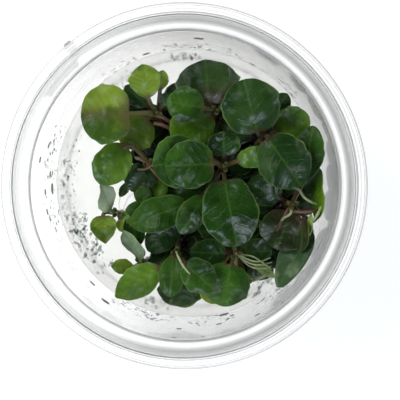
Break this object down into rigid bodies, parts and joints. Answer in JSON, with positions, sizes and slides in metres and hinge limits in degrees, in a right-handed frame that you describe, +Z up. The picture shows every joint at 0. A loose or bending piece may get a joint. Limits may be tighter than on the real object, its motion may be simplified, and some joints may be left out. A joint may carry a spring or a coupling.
{
  "type": "tissue culture cardinal flower",
  "caption": "Clump of young cardinal flower plants growing on clear nutrient gel in an open, clear plastic cup with a flange round its mouth.",
  "frame": {"origin": "middle of the cup's flat underside", "axes": "+Z up through the cup's open mouth, +X to the right and +Y to the top of the picture, which looks down into the cup"},
  "size_m": [0.1, 0.1, 0.057],
  "materials": {
    "clear_plastic": "clear moulded polypropylene, glossy",
    "gel": "clear set gel, wet",
    "stem": "living stem, satin",
    "leaf_young": "living leaf, yellow-green, satin",
    "leaf_fresh": "living leaf, bright green, glossy",
    "leaf_mid": "living leaf, green, glossy",
    "leaf_dark": "living leaf, dark green, satin",
    "leaf_under": "living leaf seen from its grey-green underside, satin",
    "leaf_pale": "living leaf, narrow and pale, satin"
  },
  "bodies": {
    "root": {"cup": "clear_plastic", "nutrient_gel": "gel", "stem_a": "stem", "stem_b": "stem", "stem_c": "stem", "stem_d": "stem", "stem_e": "stem", "stem_f": "stem", "stem_g": "stem", "stem_h": "stem", "stem_i": "stem", "stem_j": "stem", "stem_k": "stem", "leaf_a1": "leaf_young", "leaf_a2": "leaf_young", "leaf_a3": "leaf_young", "leaf_a4": "leaf_dark", "leaf_a5": "leaf_dark", "leaf_a6": "leaf_mid", "leaf_b1": "leaf_young", "leaf_b2": "leaf_dark", "leaf_b3": "leaf_dark", "leaf_b4": "leaf_young", "leaf_c1": "leaf_dark", "leaf_c2": "leaf_mid", "leaf_c3": "leaf_mid", "leaf_c4": "leaf_dark", "leaf_d1": "leaf_dark", "leaf_d2": "leaf_dark", "leaf_d3": "leaf_dark", "leaf_d4": "leaf_dark", "leaf_e1": "leaf_fresh", "leaf_e2": "leaf_mid", "leaf_e3": "leaf_fresh", "leaf_e4": "leaf_mid", "leaf_e5": "leaf_mid", "leaf_e6": "leaf_mid", "leaf_e7": "leaf_dark", "leaf_f1": "leaf_dark", "leaf_f2": "leaf_fresh", "leaf_f3": "leaf_dark", "leaf_f4": "leaf_mid", "leaf_f5": "leaf_dark", "leaf_g1": "leaf_mid", "leaf_g2": "leaf_mid", "leaf_g3": "leaf_mid", "leaf_g4": "leaf_fresh", "leaf_h1": "leaf_under", "leaf_h2": "leaf_young", "leaf_h3": "leaf_young", "leaf_i1": "leaf_mid", "leaf_i2": "leaf_dark", "leaf_i3": "leaf_dark", "leaf_i4": "leaf_young", "leaf_i5": "leaf_pale", "leaf_j1": "leaf_mid", "leaf_j2": "leaf_dark", "leaf_j3": "leaf_dark", "leaf_k1": "leaf_under", "leaf_k2": "leaf_young"}
  },
  "joints": []
}
